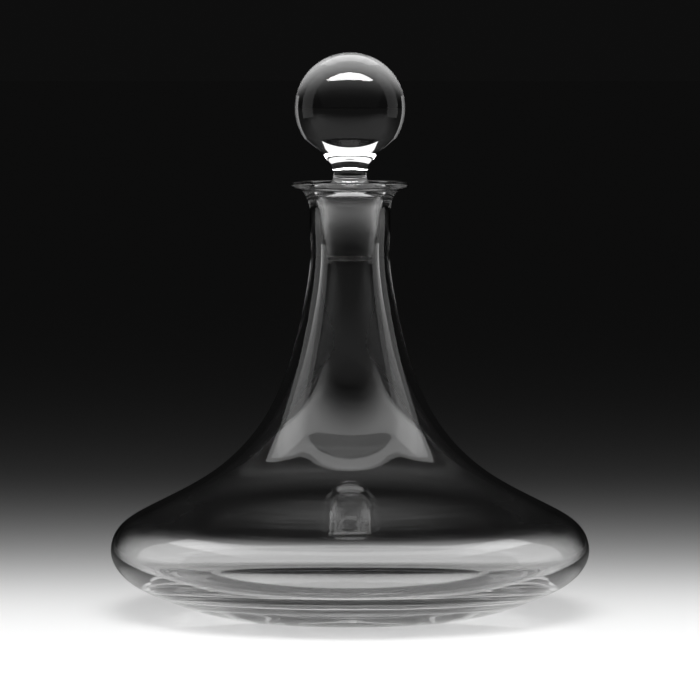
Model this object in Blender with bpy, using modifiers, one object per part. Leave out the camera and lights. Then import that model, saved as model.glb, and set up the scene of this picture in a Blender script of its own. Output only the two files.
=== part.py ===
"""Wide-based glass wine decanter (a ship's or captain's decanter) with a loose ball stopper.

Metres, +Z up. The origin is the centre of the circle the foot stands on, and +Z is the
axis that both pieces are turned about. Two pieces of clear glass: the blown body, and the
stopper, whose ball, stem and plug are one solid piece of glass.
"""

import math

import bmesh
import bpy
from mathutils import Vector

OBJECT_NAME = "wine_decanter"

# Driving dimensions of the body.
BODY_RADIUS = 0.1075            # at the widest, low down on the bulb
BODY_HEIGHT = 0.193             # foot to the top of the lip
WIDEST_HEIGHT = 0.026
NECK_RADIUS = 0.0177            # outside, at the narrowest
NECK_HEIGHT = 0.163
BORE_RADIUS = 0.0129            # inside, at the narrowest
BORE_MOUTH_RADIUS = 0.0154      # inside, just below the lip
MOUTH_ROUNDING = 0.0025         # of the mouth's inner edge
LIP_RADIUS = 0.0262
LIP_THICKNESS = 0.003
FOOT_RADIUS = 0.063             # outer edge of the flat ring it stands on
FOOT_RING_WIDTH = 0.004
PUNT_DEPTH = 0.0035             # how far the middle of the underside is pushed up
PONTIL_RADIUS = 0.022           # the polished flat in the middle of the punt
FLOOR_HEIGHT = 0.0126           # lowest part of the inside floor

# Driving dimensions of the stopper.
BALL_RADIUS = 0.02475
BALL_HEIGHT = 0.2261            # centre of the ball
FLARE_RADIUS = 0.0205           # where the ball turns into the stem
WAIST_RADIUS = 0.0076
WAIST_HEIGHT = 0.1975
PLUG_TOP_RADIUS = 0.0148
PLUG_TOP_HEIGHT = 0.1882
PLUG_END_RADIUS = 0.0106
PLUG_END_HEIGHT = 0.1577
PLUG_CORNER = 0.002             # rounding of the edge of its flat end

SEGMENTS = 48                   # around the axis
CURVE_STEPS = 2                 # points along each stretch of a smooth curve


def smooth_curve(stations):
    """A centripetal Catmull-Rom curve through (radius, height) stations."""
    points = [Vector(station) for station in stations]
    points.insert(0, 2 * points[0] - points[1])
    points.append(2 * points[-1] - points[-2])
    curve = []
    for p0, p1, p2, p3 in zip(points, points[1:], points[2:], points[3:]):
        t1 = (p1 - p0).length ** 0.5
        t2 = t1 + (p2 - p1).length ** 0.5
        t3 = t2 + (p3 - p2).length ** 0.5
        for step in range(CURVE_STEPS):
            t = t1 + (t2 - t1) * step / CURVE_STEPS
            a1 = p0.lerp(p1, t / t1)
            a2 = p1.lerp(p2, (t - t1) / (t2 - t1))
            a3 = p2.lerp(p3, (t - t2) / (t3 - t2))
            b1 = a1.lerp(a2, t / t2)
            b2 = a2.lerp(a3, (t - t1) / (t3 - t1))
            curve.append(tuple(b1.lerp(b2, (t - t1) / (t2 - t1))))
    curve.append(tuple(points[-2]))
    return curve


def arc(center, radius, start_deg, end_deg, steps):
    """Points on a circle, angles counted from straight out (+radius) towards up."""
    points = []
    for step in range(steps + 1):
        angle = math.radians(start_deg + (end_deg - start_deg) * step / steps)
        points.append((center[0] + radius * math.cos(angle), center[1] + radius * math.sin(angle)))
    return points


def body_inside():
    """From the middle of the inside floor, up the wall and the bore, to the mouth."""
    return smooth_curve([
        (0.0, FLOOR_HEIGHT + 0.0004),
        (0.045, FLOOR_HEIGHT + 0.0003),
        (0.070, FLOOR_HEIGHT),
        (0.084, FLOOR_HEIGHT + 0.0002),
        (0.0925, FLOOR_HEIGHT + 0.0024),
        (0.1008, 0.0200),
        (0.1052, WIDEST_HEIGHT + 0.0008),
        (0.1038, 0.0343),
        (0.0908, 0.0443),
        (0.0585, 0.0623),
        (0.0367, 0.0847),
        (0.0229, 0.1130),
        (0.0143, 0.1450),
        (BORE_RADIUS, NECK_HEIGHT - 0.002),
        (0.0138, 0.1730),
        (BORE_MOUTH_RADIUS, BODY_HEIGHT - 0.006),
    ])


def lip():
    """Over the mouth's rounded inner edge, across the lip, and round its outer edge."""
    mouth_center = (BORE_MOUTH_RADIUS + MOUTH_ROUNDING, BODY_HEIGHT - MOUTH_ROUNDING)
    half = LIP_THICKNESS / 2
    edge_center = (LIP_RADIUS - half, BODY_HEIGHT - half)
    return arc(mouth_center, MOUTH_ROUNDING, 170, 90, 4) + arc(edge_center, half, 90, -90, 6)


def body_outside():
    """From under the lip, down the neck and shoulder, round the bulb, to the foot ring."""
    return smooth_curve([
        (0.0219, BODY_HEIGHT - 0.0036),
        (0.0193, BODY_HEIGHT - 0.0076),
        (0.0181, NECK_HEIGHT + 0.011),
        (NECK_RADIUS, NECK_HEIGHT),
        (0.0195, 0.1450),
        (0.0258, 0.1170),
        (0.0390, 0.0863),
        (0.0600, 0.0640),
        (0.0921, 0.0460),
        (0.1058, 0.0350),
        (BODY_RADIUS, WIDEST_HEIGHT),
        (0.0991, 0.0140),
        (0.0865, 0.0077),
        (0.0730, 0.0025),
        (FOOT_RADIUS, 0.0),
    ])


def punt():
    """From the inner edge of the foot ring to the middle of the underside."""
    slope = smooth_curve([
        (FOOT_RADIUS - FOOT_RING_WIDTH, 0.0),
        (0.042, PUNT_DEPTH * 0.6),
        (PONTIL_RADIUS, PUNT_DEPTH),
    ])
    return slope + [(0.0, PUNT_DEPTH)]


def stopper_outline():
    """From the top of the ball, down the stem and the plug, to the middle of its flat end."""
    flare_deg = -math.degrees(math.acos(FLARE_RADIUS / BALL_RADIUS))
    ball = arc((0.0, BALL_HEIGHT), BALL_RADIUS, 90, flare_deg, 14)
    stem = smooth_curve([
        (0.0159, 0.2087),
        (0.0133, 0.2065),
        (0.0101, 0.2025),
        (WAIST_RADIUS, WAIST_HEIGHT),
        (0.0081, 0.1936),
        (0.0120, 0.1904),
        (PLUG_TOP_RADIUS, PLUG_TOP_HEIGHT),
    ])
    corner_center = (PLUG_END_RADIUS - PLUG_CORNER, PLUG_END_HEIGHT + PLUG_CORNER)
    corner = arc(corner_center, PLUG_CORNER, 0, -90, 3)
    return ball + stem + corner + [(0.0, PLUG_END_HEIGHT)]


def glass(name, tint):
    """Clear, polished glass with a faint tint."""
    material = bpy.data.materials.new(name)
    material.use_nodes = True
    material.diffuse_color = (*tint, 0.35)
    shader = material.node_tree.nodes["Principled BSDF"]
    shader.inputs["Base Color"].default_value = (*tint, 1.0)
    shader.inputs["Metallic"].default_value = 0.0
    shader.inputs["Roughness"].default_value = 0.01
    shader.inputs["IOR"].default_value = 1.5
    shader.inputs["Transmission Weight"].default_value = 1.0
    return material


def turned(name, profile, material, collection):
    """A closed solid turned about +Z from a profile whose two ends are on the axis."""
    profile[0] = (0.0, profile[0][1])
    profile[-1] = (0.0, profile[-1][1])
    bm = bmesh.new()
    verts = [bm.verts.new((radius, 0.0, height)) for radius, height in profile]
    for first, second in zip(verts, verts[1:]):
        bm.edges.new((first, second))
    mesh = bpy.data.meshes.new(name)
    bm.to_mesh(mesh)
    bm.free()
    mesh.materials.append(material)

    obj = bpy.data.objects.new(name, mesh)
    collection.objects.link(obj)
    screw = obj.modifiers.new("turn", "SCREW")
    screw.axis = "Z"
    screw.angle = 2 * math.pi
    screw.steps = SEGMENTS
    screw.render_steps = SEGMENTS
    screw.use_merge_vertices = True
    screw.merge_threshold = 0.00001
    screw.use_smooth_shade = True


def main():
    for obj in list(bpy.data.objects):
        bpy.data.objects.remove(obj, do_unlink=True)
    collection = bpy.data.collections.new(OBJECT_NAME)
    bpy.context.scene.collection.children.link(collection)

    body_glass = glass("body_glass", (0.97, 0.98, 0.975))
    body_profile = body_inside() + lip() + body_outside() + punt()
    turned("decanter_body", body_profile, body_glass, collection)

    stopper_glass = glass("stopper_glass", (0.98, 0.985, 0.98))
    turned("stopper", stopper_outline(), stopper_glass, collection)


main()
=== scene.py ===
"""The looks of the wine decanter: clear blown glass on a pale table in a dark studio.

Both pieces of glass are turned here again from smooth curves, in place of the faceted CAD
solids. The dimensions come from the CAD model's boxes, so the glass keeps the CAD's size.
"""

import math

import bmesh
import bpy
import numpy as np
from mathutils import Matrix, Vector


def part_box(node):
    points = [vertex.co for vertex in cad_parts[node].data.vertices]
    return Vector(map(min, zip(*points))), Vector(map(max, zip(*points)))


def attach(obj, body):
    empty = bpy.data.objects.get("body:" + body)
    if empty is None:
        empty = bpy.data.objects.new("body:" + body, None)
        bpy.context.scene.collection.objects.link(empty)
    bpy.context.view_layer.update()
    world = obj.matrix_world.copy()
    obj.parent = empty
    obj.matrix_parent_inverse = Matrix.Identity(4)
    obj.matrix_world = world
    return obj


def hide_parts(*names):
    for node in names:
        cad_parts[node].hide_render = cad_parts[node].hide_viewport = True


SEGMENTS = 256                  # around the axis
POINT_SPACING = 0.0008          # along a profile
SHARP_POINT_SPACING = 0.00025   # along small round edges

DRAWN_BODY_RADIUS = 107.64      # mm, the widest radius that the body's stations are scaled by
DRAWN_BALL_RADIUS = 24.75       # mm, the ball that the stopper's stations are drawn for
BALL_END_DEG = -34.1            # where the ball turns into the stem
GROUND_BELOW_LIP = 0.006        # the plug is ground from this far below the lip downwards
GROUND_FADE = 0.003             # how deep the change from polished to ground is
FOOT_WEAR_HEIGHT = 0.0016       # scuffs reach this far up from the table
WORN_ROUGHNESS = 0.3

TABLE_SIZE = 60                 # no edge or horizon in sight
SIDE_LIGHT_X = 0.95
CAMERA_PLACE = (0, -2.145, 0.255)
CAMERA_AIM = (0, 0, 0.1175)
CAMERA_LENS = 246.3


# ---------------------------------------------------------------- profiles

def natural_spline(values, knots, at):
    """A C2 cubic spline through values at knots, with free ends, read at the given places."""
    count = len(knots)
    gaps = np.diff(knots)
    system = np.zeros((count, count))
    right = np.zeros(count)
    system[0, 0] = system[-1, -1] = 1.0
    for i in range(1, count - 1):
        system[i, i - 1:i + 2] = gaps[i - 1], 2 * (gaps[i - 1] + gaps[i]), gaps[i]
        slopes = (values[i + 1] - values[i]) / gaps[i], (values[i] - values[i - 1]) / gaps[i - 1]
        right[i] = 6 * (slopes[0] - slopes[1])
    bend = np.linalg.solve(system, right)
    span = np.clip(np.searchsorted(knots, at, side="right") - 1, 0, count - 2)
    gap, before, after = gaps[span], at - knots[span], knots[span + 1] - at
    return ((bend[span] * after ** 3 + bend[span + 1] * before ** 3) / (6 * gap)
            + (values[span] / gap - bend[span] * gap / 6) * after
            + (values[span + 1] / gap - bend[span + 1] * gap / 6) * before)


def smooth_curve(stations, spacing=POINT_SPACING):
    """A curve with no kink in slope or curvature through (radius, height) stations."""
    stations = np.array(stations, float)
    steps = np.linalg.norm(np.diff(stations, axis=0), axis=1)
    knots = np.concatenate([[0.0], np.cumsum(steps)])
    at = np.linspace(0, knots[-1], max(2, math.ceil(knots[-1] / spacing)) + 1)
    radii = natural_spline(stations[:, 0], knots, at)
    heights = natural_spline(stations[:, 1], knots, at)
    return list(zip(radii, heights))


def arc(center, radius, start_deg, end_deg, spacing=SHARP_POINT_SPACING):
    """Points on a circle, angles counted from straight out towards up."""
    turn = math.radians(end_deg - start_deg)
    steps = max(3, math.ceil(abs(turn) * radius / spacing))
    angles = [math.radians(start_deg) + turn * step / steps for step in range(steps + 1)]
    return [(center[0] + radius * math.cos(a), center[1] + radius * math.sin(a)) for a in angles]


def scaled(stations, k):
    """Stations drawn in millimetres, in metres at the object's real size."""
    return [(radius * k, height * k) for radius, height in stations]


def joined(*stretches):
    """One profile from several, without the points that two of them share."""
    profile = []
    for radius, height in (point for stretch in stretches for point in stretch):
        if not profile or math.dist(profile[-1], (radius, height)) > 1e-5:
            profile.append((radius, height))
    return profile


def turned(name, *profiles):
    """A closed mesh of one or more shells, each turned about +Z from a profile."""
    bm = bmesh.new()
    for profile in profiles:
        rings = []
        for radius, height in profile:
            if radius < 1e-5:
                rings.append([bm.verts.new((0.0, 0.0, height))])
                continue
            angles = (2 * math.pi * i / SEGMENTS for i in range(SEGMENTS))
            points = ((radius * math.cos(a), radius * math.sin(a), height) for a in angles)
            rings.append([bm.verts.new(point) for point in points])
        for ring, following in zip(rings, rings[1:]):
            for i in range(SEGMENTS):
                j = (i + 1) % SEGMENTS
                if len(ring) == 1:
                    corners = (ring[0], following[i], following[j])
                elif len(following) == 1:
                    corners = (ring[i], following[0], ring[j])
                else:
                    corners = (ring[i], following[i], following[j], ring[j])
                bm.faces.new(corners)
    mesh = bpy.data.meshes.new(name)
    bm.to_mesh(mesh)
    bm.free()
    mesh.shade_smooth()
    piece = bpy.data.objects.new(name, mesh)
    bpy.context.scene.collection.objects.link(piece)
    return piece


# ---------------------------------------------------------------- the two pieces

def make_body(widest, height):
    """The decanter body, from the inside floor over the lip to the middle of the underside."""
    k = widest / DRAWN_BODY_RADIUS
    top = height / k
    inside = smooth_curve(scaled([
        (-45, 12.9), (0, 13.0), (45, 12.9), (70, 12.6), (84, 12.8), (92.5, 15.0),
        (100.8, 20.0), (105.2, 26.8), (103.8, 34.3), (90.8, 44.3), (58.5, 62.3), (36.7, 84.7),
        (22.9, 113), (14.3, 145), (12.9, 161), (13.8, 173), (15.4, top - 6),
    ], k))
    inside = [(r, z) for r, z in inside if r >= 0]
    mouth = arc((17.9 * k, (top - 2.5) * k), 2.5 * k, 170, 90)
    lip = arc((24.7 * k, (top - 1.5) * k), 1.5 * k, 90, -90)
    outside = smooth_curve(scaled([
        (21.9, top - 3.6), (19.3, top - 7.6), (18.1, 174), (17.7, 163), (19.5, 145),
        (25.8, 117), (39.0, 86.3), (60.0, 64), (92.1, 46), (105.8, 35), (107.5, 26),
        (99.1, 14), (86.5, 7.7), (73, 2.5), (63, 0),
    ], k))
    punt = smooth_curve(scaled([(59, 0), (42, 2.1), (22, 3.5)], k))
    profile = joined([(0.0, inside[0][1])], inside, mouth, lip, outside, punt, [(0.0, 3.5 * k)])
    return turned("blown_body", profile)


def make_stopper(ball_radius, top, plug_end):
    """The solid stopper, from the top of the ball to the middle of the plug's flat end."""
    k = ball_radius / DRAWN_BALL_RADIUS
    ball = arc((0, top - ball_radius), ball_radius, 90, BALL_END_DEG, POINT_SPACING)
    stem = smooth_curve([ball[-1]] + scaled([
        (18.6, 210.9), (15.9, 208.7), (13.3, 206.5), (10.1, 202.5), (7.6, 197.5),
        (8.1, 193.6), (12.0, 190.4), (14.8, 188.2),
    ], k), SHARP_POINT_SPACING)
    corner = arc((8.6 * k, plug_end + 2 * k), 2 * k, 8, -90)
    return turned("blown_stopper", joined(ball, stem, corner, [(0.0, plug_end)]))


# ---------------------------------------------------------------- materials

def glass(name, ground_below=None):
    """Clear blown glass, colourless, with the faint rings and waves left by turning and blowing.

    Below the height ground_below the surface is ground satin, to grip the neck, and the
    change from polished to ground is a few millimetres deep.
    """
    material = bpy.data.materials.new(name)
    material.use_nodes = True
    nodes, links = material.node_tree.nodes, material.node_tree.links
    shader = nodes["Principled BSDF"]
    shader.inputs["Base Color"].default_value = (0.985, 0.985, 0.985, 1.0)
    shader.inputs["IOR"].default_value = 1.52
    shader.inputs["Transmission Weight"].default_value = 1.0

    # rings: noise that changes with height and radius far more than around the axis
    place = nodes.new("ShaderNodeTexCoord")
    split = nodes.new("ShaderNodeSeparateXYZ")
    across = nodes.new("ShaderNodeVectorMath")
    across.operation = "MULTIPLY"
    across.inputs[1].default_value = (1.0, 1.0, 0.0)
    radius = nodes.new("ShaderNodeVectorMath")
    radius.operation = "LENGTH"
    section = nodes.new("ShaderNodeCombineXYZ")
    around = nodes.new("ShaderNodeMath")
    around.operation = "MULTIPLY"
    around.inputs[1].default_value = 0.12
    rings = nodes.new("ShaderNodeTexNoise")
    rings.inputs["Scale"].default_value = 110.0
    rings.inputs["Detail"].default_value = 2.0
    waves = nodes.new("ShaderNodeTexNoise")
    waves.inputs["Scale"].default_value = 28.0
    waves.inputs["Detail"].default_value = 1.0
    height = nodes.new("ShaderNodeMath")
    height.operation = "ADD"
    bump = nodes.new("ShaderNodeBump")
    bump.inputs["Strength"].default_value = 0.25
    bump.inputs["Distance"].default_value = 0.00006
    links.new(place.outputs["Object"], split.inputs[0])
    links.new(place.outputs["Object"], across.inputs[0])
    links.new(across.outputs[0], radius.inputs[0])
    links.new(split.outputs["X"], around.inputs[0])
    links.new(radius.outputs["Value"], section.inputs["X"])
    links.new(around.outputs[0], section.inputs["Y"])
    links.new(split.outputs["Z"], section.inputs["Z"])
    links.new(section.outputs[0], rings.inputs["Vector"])
    links.new(place.outputs["Object"], waves.inputs["Vector"])
    links.new(rings.outputs["Fac"], height.inputs[0])
    links.new(waves.outputs["Fac"], height.inputs[1])
    links.new(height.outputs[0], bump.inputs["Height"])
    links.new(bump.outputs["Normal"], shader.inputs["Normal"])

    # fine wear: hair-thin scuffs on what stands on the table, satin where it is ground
    scuffs = nodes.new("ShaderNodeTexNoise")
    scuffs.inputs["Scale"].default_value = 900.0
    scuffs.inputs["Detail"].default_value = 3.0
    worn = nodes.new("ShaderNodeMapRange")
    worn.interpolation_type = "SMOOTHSTEP"
    rough = nodes.new("ShaderNodeMath")
    rough.operation = "MULTIPLY"
    links.new(place.outputs["Object"], scuffs.inputs["Vector"])
    links.new(split.outputs["Z"], worn.inputs["Value"])
    start, full = FOOT_WEAR_HEIGHT, 0.0
    if ground_below is not None:
        start, full = ground_below, ground_below - GROUND_FADE
    worn.inputs["From Min"].default_value = start
    worn.inputs["From Max"].default_value = full
    worn.inputs["To Max"].default_value = WORN_ROUGHNESS
    links.new(scuffs.outputs["Fac"], rough.inputs[0])
    links.new(worn.outputs["Result"], rough.inputs[1])
    links.new(rough.outputs[0], shader.inputs["Roughness"])
    return material


def table_top(name):
    """Pale satin table, dimmed on purpose with painted shade where it would show inside the glass.

    Light that the glass has reflected finds the table's colour painted dark, so that the bright
    table doesn't veil
    the neck. Real glass would show it: this is a studio setting, not a property of the glass.
    """
    material = bpy.data.materials.new(name)
    material.use_nodes = True
    nodes, links = material.node_tree.nodes, material.node_tree.links
    shader = nodes["Principled BSDF"]
    shader.inputs["Roughness"].default_value = 0.3
    path = nodes.new("ShaderNodeLightPath")
    through = nodes.new("ShaderNodeMath")
    through.operation = "GREATER_THAN"
    through.inputs[1].default_value = 3.5
    far = nodes.new("ShaderNodeMapRange")
    far.inputs["From Min"].default_value = 0.04
    far.inputs["From Max"].default_value = 0.10
    far.inputs["To Max"].default_value = 0.75
    either = nodes.new("ShaderNodeMath")
    either.operation = "MAXIMUM"
    reflected = nodes.new("ShaderNodeMath")
    reflected.operation = "MINIMUM"
    links.new(path.outputs["Transmission Depth"], through.inputs[0])
    links.new(path.outputs["Ray Length"], far.inputs["Value"])
    links.new(through.outputs[0], either.inputs[0])
    links.new(far.outputs["Result"], either.inputs[1])
    links.new(path.outputs["Glossy Depth"], reflected.inputs[0])
    links.new(either.outputs[0], reflected.inputs[1])
    # painted shade: the table's colour goes from pale to nearly black for light that the glass has
    # reflected
    painted_shade_mix = nodes.new("ShaderNodeMix")
    painted_shade_mix.data_type = "RGBA"
    painted_shade_mix.inputs[6].default_value = (0.8, 0.8, 0.8, 1.0)
    painted_shade_mix.inputs[7].default_value = (0.02, 0.02, 0.02, 1.0)
    links.new(reflected.outputs[0], painted_shade_mix.inputs[0])
    links.new(painted_shade_mix.outputs[2], shader.inputs["Base Color"])
    return material


# ---------------------------------------------------------------- studio

def panel(name, location, aim, size, radiance, lights=None, shadows=None, spread_deg=180):
    """A soft light panel with the given radiance, facing a point.

    lights and shadows are the objects it lights and those that cast its shadow, if not all.
    """
    light = bpy.data.lights.new(name, "AREA")
    light.shape = "RECTANGLE"
    light.size, light.size_y = size
    light.energy = radiance * size[0] * size[1] * math.pi
    light.spread = math.radians(spread_deg)
    lamp = bpy.data.objects.new(name, light)
    lamp.location = location
    lamp.rotation_mode = "QUATERNION"
    lamp.rotation_quaternion = (Vector(aim) - Vector(location)).to_track_quat("-Z", "Y")
    lamp.visible_camera = False
    bpy.context.scene.collection.objects.link(lamp)
    if lights:
        lamp.light_linking.receiver_collection = group(name + "_lights", lights)
    if shadows:
        lamp.light_linking.blocker_collection = group(name + "_shadows", shadows)
    return lamp


def group(name, objects):
    """A collection outside the scene, for light linking."""
    collection = bpy.data.collections.new(name)
    for obj in objects:
        collection.objects.link(obj)
    return collection


def make_table():
    bpy.ops.mesh.primitive_plane_add(size=1, location=(0, 0, 0))
    table = bpy.context.object
    table.name = "table"
    table.scale = (TABLE_SIZE, TABLE_SIZE, 1)
    table.data.materials.append(table_top("table"))
    return table


def make_lights(table, body, stopper):
    world = bpy.data.worlds.new("studio")
    bpy.context.scene.world = world
    world.use_nodes = True
    world.node_tree.nodes["Background"].inputs["Color"].default_value = (0.0045, 0.0045, 0.0045, 1)

    pieces = [body, stopper]
    panel("table_key", (0, -0.238, 0.202), (0, -0.238, 0), (2.4, 0.67), 1.8, [table], [table])
    panel("table_shadow", (0, -0.2, 1.0), (0, -0.2, 0), (0.8, 0.5), 0.8, [table], None, 70)
    for side in (-1, 1):
        place, aim = (side * SIDE_LIGHT_X, 0.2, 0.7), (0, 0.2, 0.7)
        panel("body_side", place, aim, (0.6, 1.4), 0.7, [body])
        panel("stopper_side", place, aim, (0.6, 1.4), 0.35, [stopper])
    panel("front_fill", (0, -2.7, 2.5), (0, 0, 0.3), (14, 5.5), 0.03, pieces)
    panel("stem_light", (0, 0.65, 1.0), (0, 0.1, 0.2), (0.9, 0.55), 1.3, [stopper])

    # cut back behind the object, and faded out towards the front
    corners = [(0.6, 0.03), (0.77, 0.12), (0.93, 0.45), (1.14, 0.95), (1.8, 1.1), (1.8, -1.8)]
    outline = corners + [(-x, y) for x, y in reversed(corners)]
    sheet("overhead", outline, 1.5, (-1.4, -0.4), 1.4, [body])
    sheet("stopper_overhead", outline, 1.6, (-0.95, -0.05), 0.1, [stopper])

    # the window-shaped highlight high on the ball
    turns = [math.radians(10 * step) for step in range(19)]
    outline = [(0.52 * math.cos(turn), -0.13 - 0.23 * math.sin(turn)) for turn in turns]
    highlight = sheet("ball_light", outline, 0.85, (-1.0, -0.9), 20.0, [stopper])
    highlight.visible_transmission = False


def sheet(name, outline, height, fade_y, radiance, lights):
    """A level sheet of light overhead, whose light fades in from the first y to the second."""
    mesh = bpy.data.meshes.new(name)
    mesh.from_pydata([(x, y, height) for x, y in outline], [], [tuple(range(len(outline)))])
    lamp = bpy.data.objects.new(name, mesh)
    bpy.context.scene.collection.objects.link(lamp)
    lamp.visible_camera = False
    lamp.visible_shadow = False
    lamp.light_linking.receiver_collection = group(name + "_lights", lights)

    material = bpy.data.materials.new(name)
    material.use_nodes = True
    nodes, links = material.node_tree.nodes, material.node_tree.links
    nodes.clear()
    place = nodes.new("ShaderNodeTexCoord")
    split = nodes.new("ShaderNodeSeparateXYZ")
    fade = nodes.new("ShaderNodeMapRange")
    fade.interpolation_type = "SMOOTHSTEP"
    fade.inputs["From Min"].default_value = fade_y[0]
    fade.inputs["From Max"].default_value = fade_y[1]
    fade.inputs["To Max"].default_value = radiance
    light = nodes.new("ShaderNodeEmission")
    output = nodes.new("ShaderNodeOutputMaterial")
    links.new(place.outputs["Object"], split.inputs[0])
    links.new(split.outputs["Y"], fade.inputs["Value"])
    links.new(fade.outputs["Result"], light.inputs["Strength"])
    links.new(light.outputs[0], output.inputs["Surface"])
    mesh.materials.append(material)
    return lamp


def make_camera():
    camera = bpy.data.cameras.new("camera")
    camera.lens = CAMERA_LENS
    camera.sensor_width = 36
    holder = bpy.data.objects.new("camera", camera)
    holder.location = CAMERA_PLACE
    aim = Vector(CAMERA_AIM)
    holder.rotation_mode = "QUATERNION"
    holder.rotation_quaternion = (aim - holder.location).to_track_quat("-Z", "Y")
    bpy.context.scene.collection.objects.link(holder)
    bpy.context.scene.camera = holder


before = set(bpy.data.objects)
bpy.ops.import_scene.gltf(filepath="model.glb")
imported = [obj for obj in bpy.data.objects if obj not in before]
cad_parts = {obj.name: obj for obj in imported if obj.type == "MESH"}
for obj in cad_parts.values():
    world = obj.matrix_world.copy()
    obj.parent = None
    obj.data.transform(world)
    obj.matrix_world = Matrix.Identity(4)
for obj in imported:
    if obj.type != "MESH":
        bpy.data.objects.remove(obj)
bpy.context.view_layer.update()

make_camera()

body_low, body_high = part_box("decanter_body")
body = make_body(body_high.x, body_high.z)
body.data.materials.append(glass("body_glass"))
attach(body, "decanter")
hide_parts("decanter_body")

stopper_low, stopper_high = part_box("stopper")
stopper = make_stopper(stopper_high.x, stopper_high.z, stopper_low.z)
stopper.data.materials.append(glass("stopper_glass", body_high.z - GROUND_BELOW_LIP))
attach(stopper, "stopper")
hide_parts("stopper")

make_lights(make_table(), body, stopper)

# a studio setting too: the stopper isn't mirrored in the outside of the body
stopper.visible_glossy = False

scene = bpy.context.scene
scene.view_settings.view_transform = "Standard"
scene.cycles.max_bounces = 32
scene.cycles.transmission_bounces = 24
scene.cycles.glossy_bounces = 16
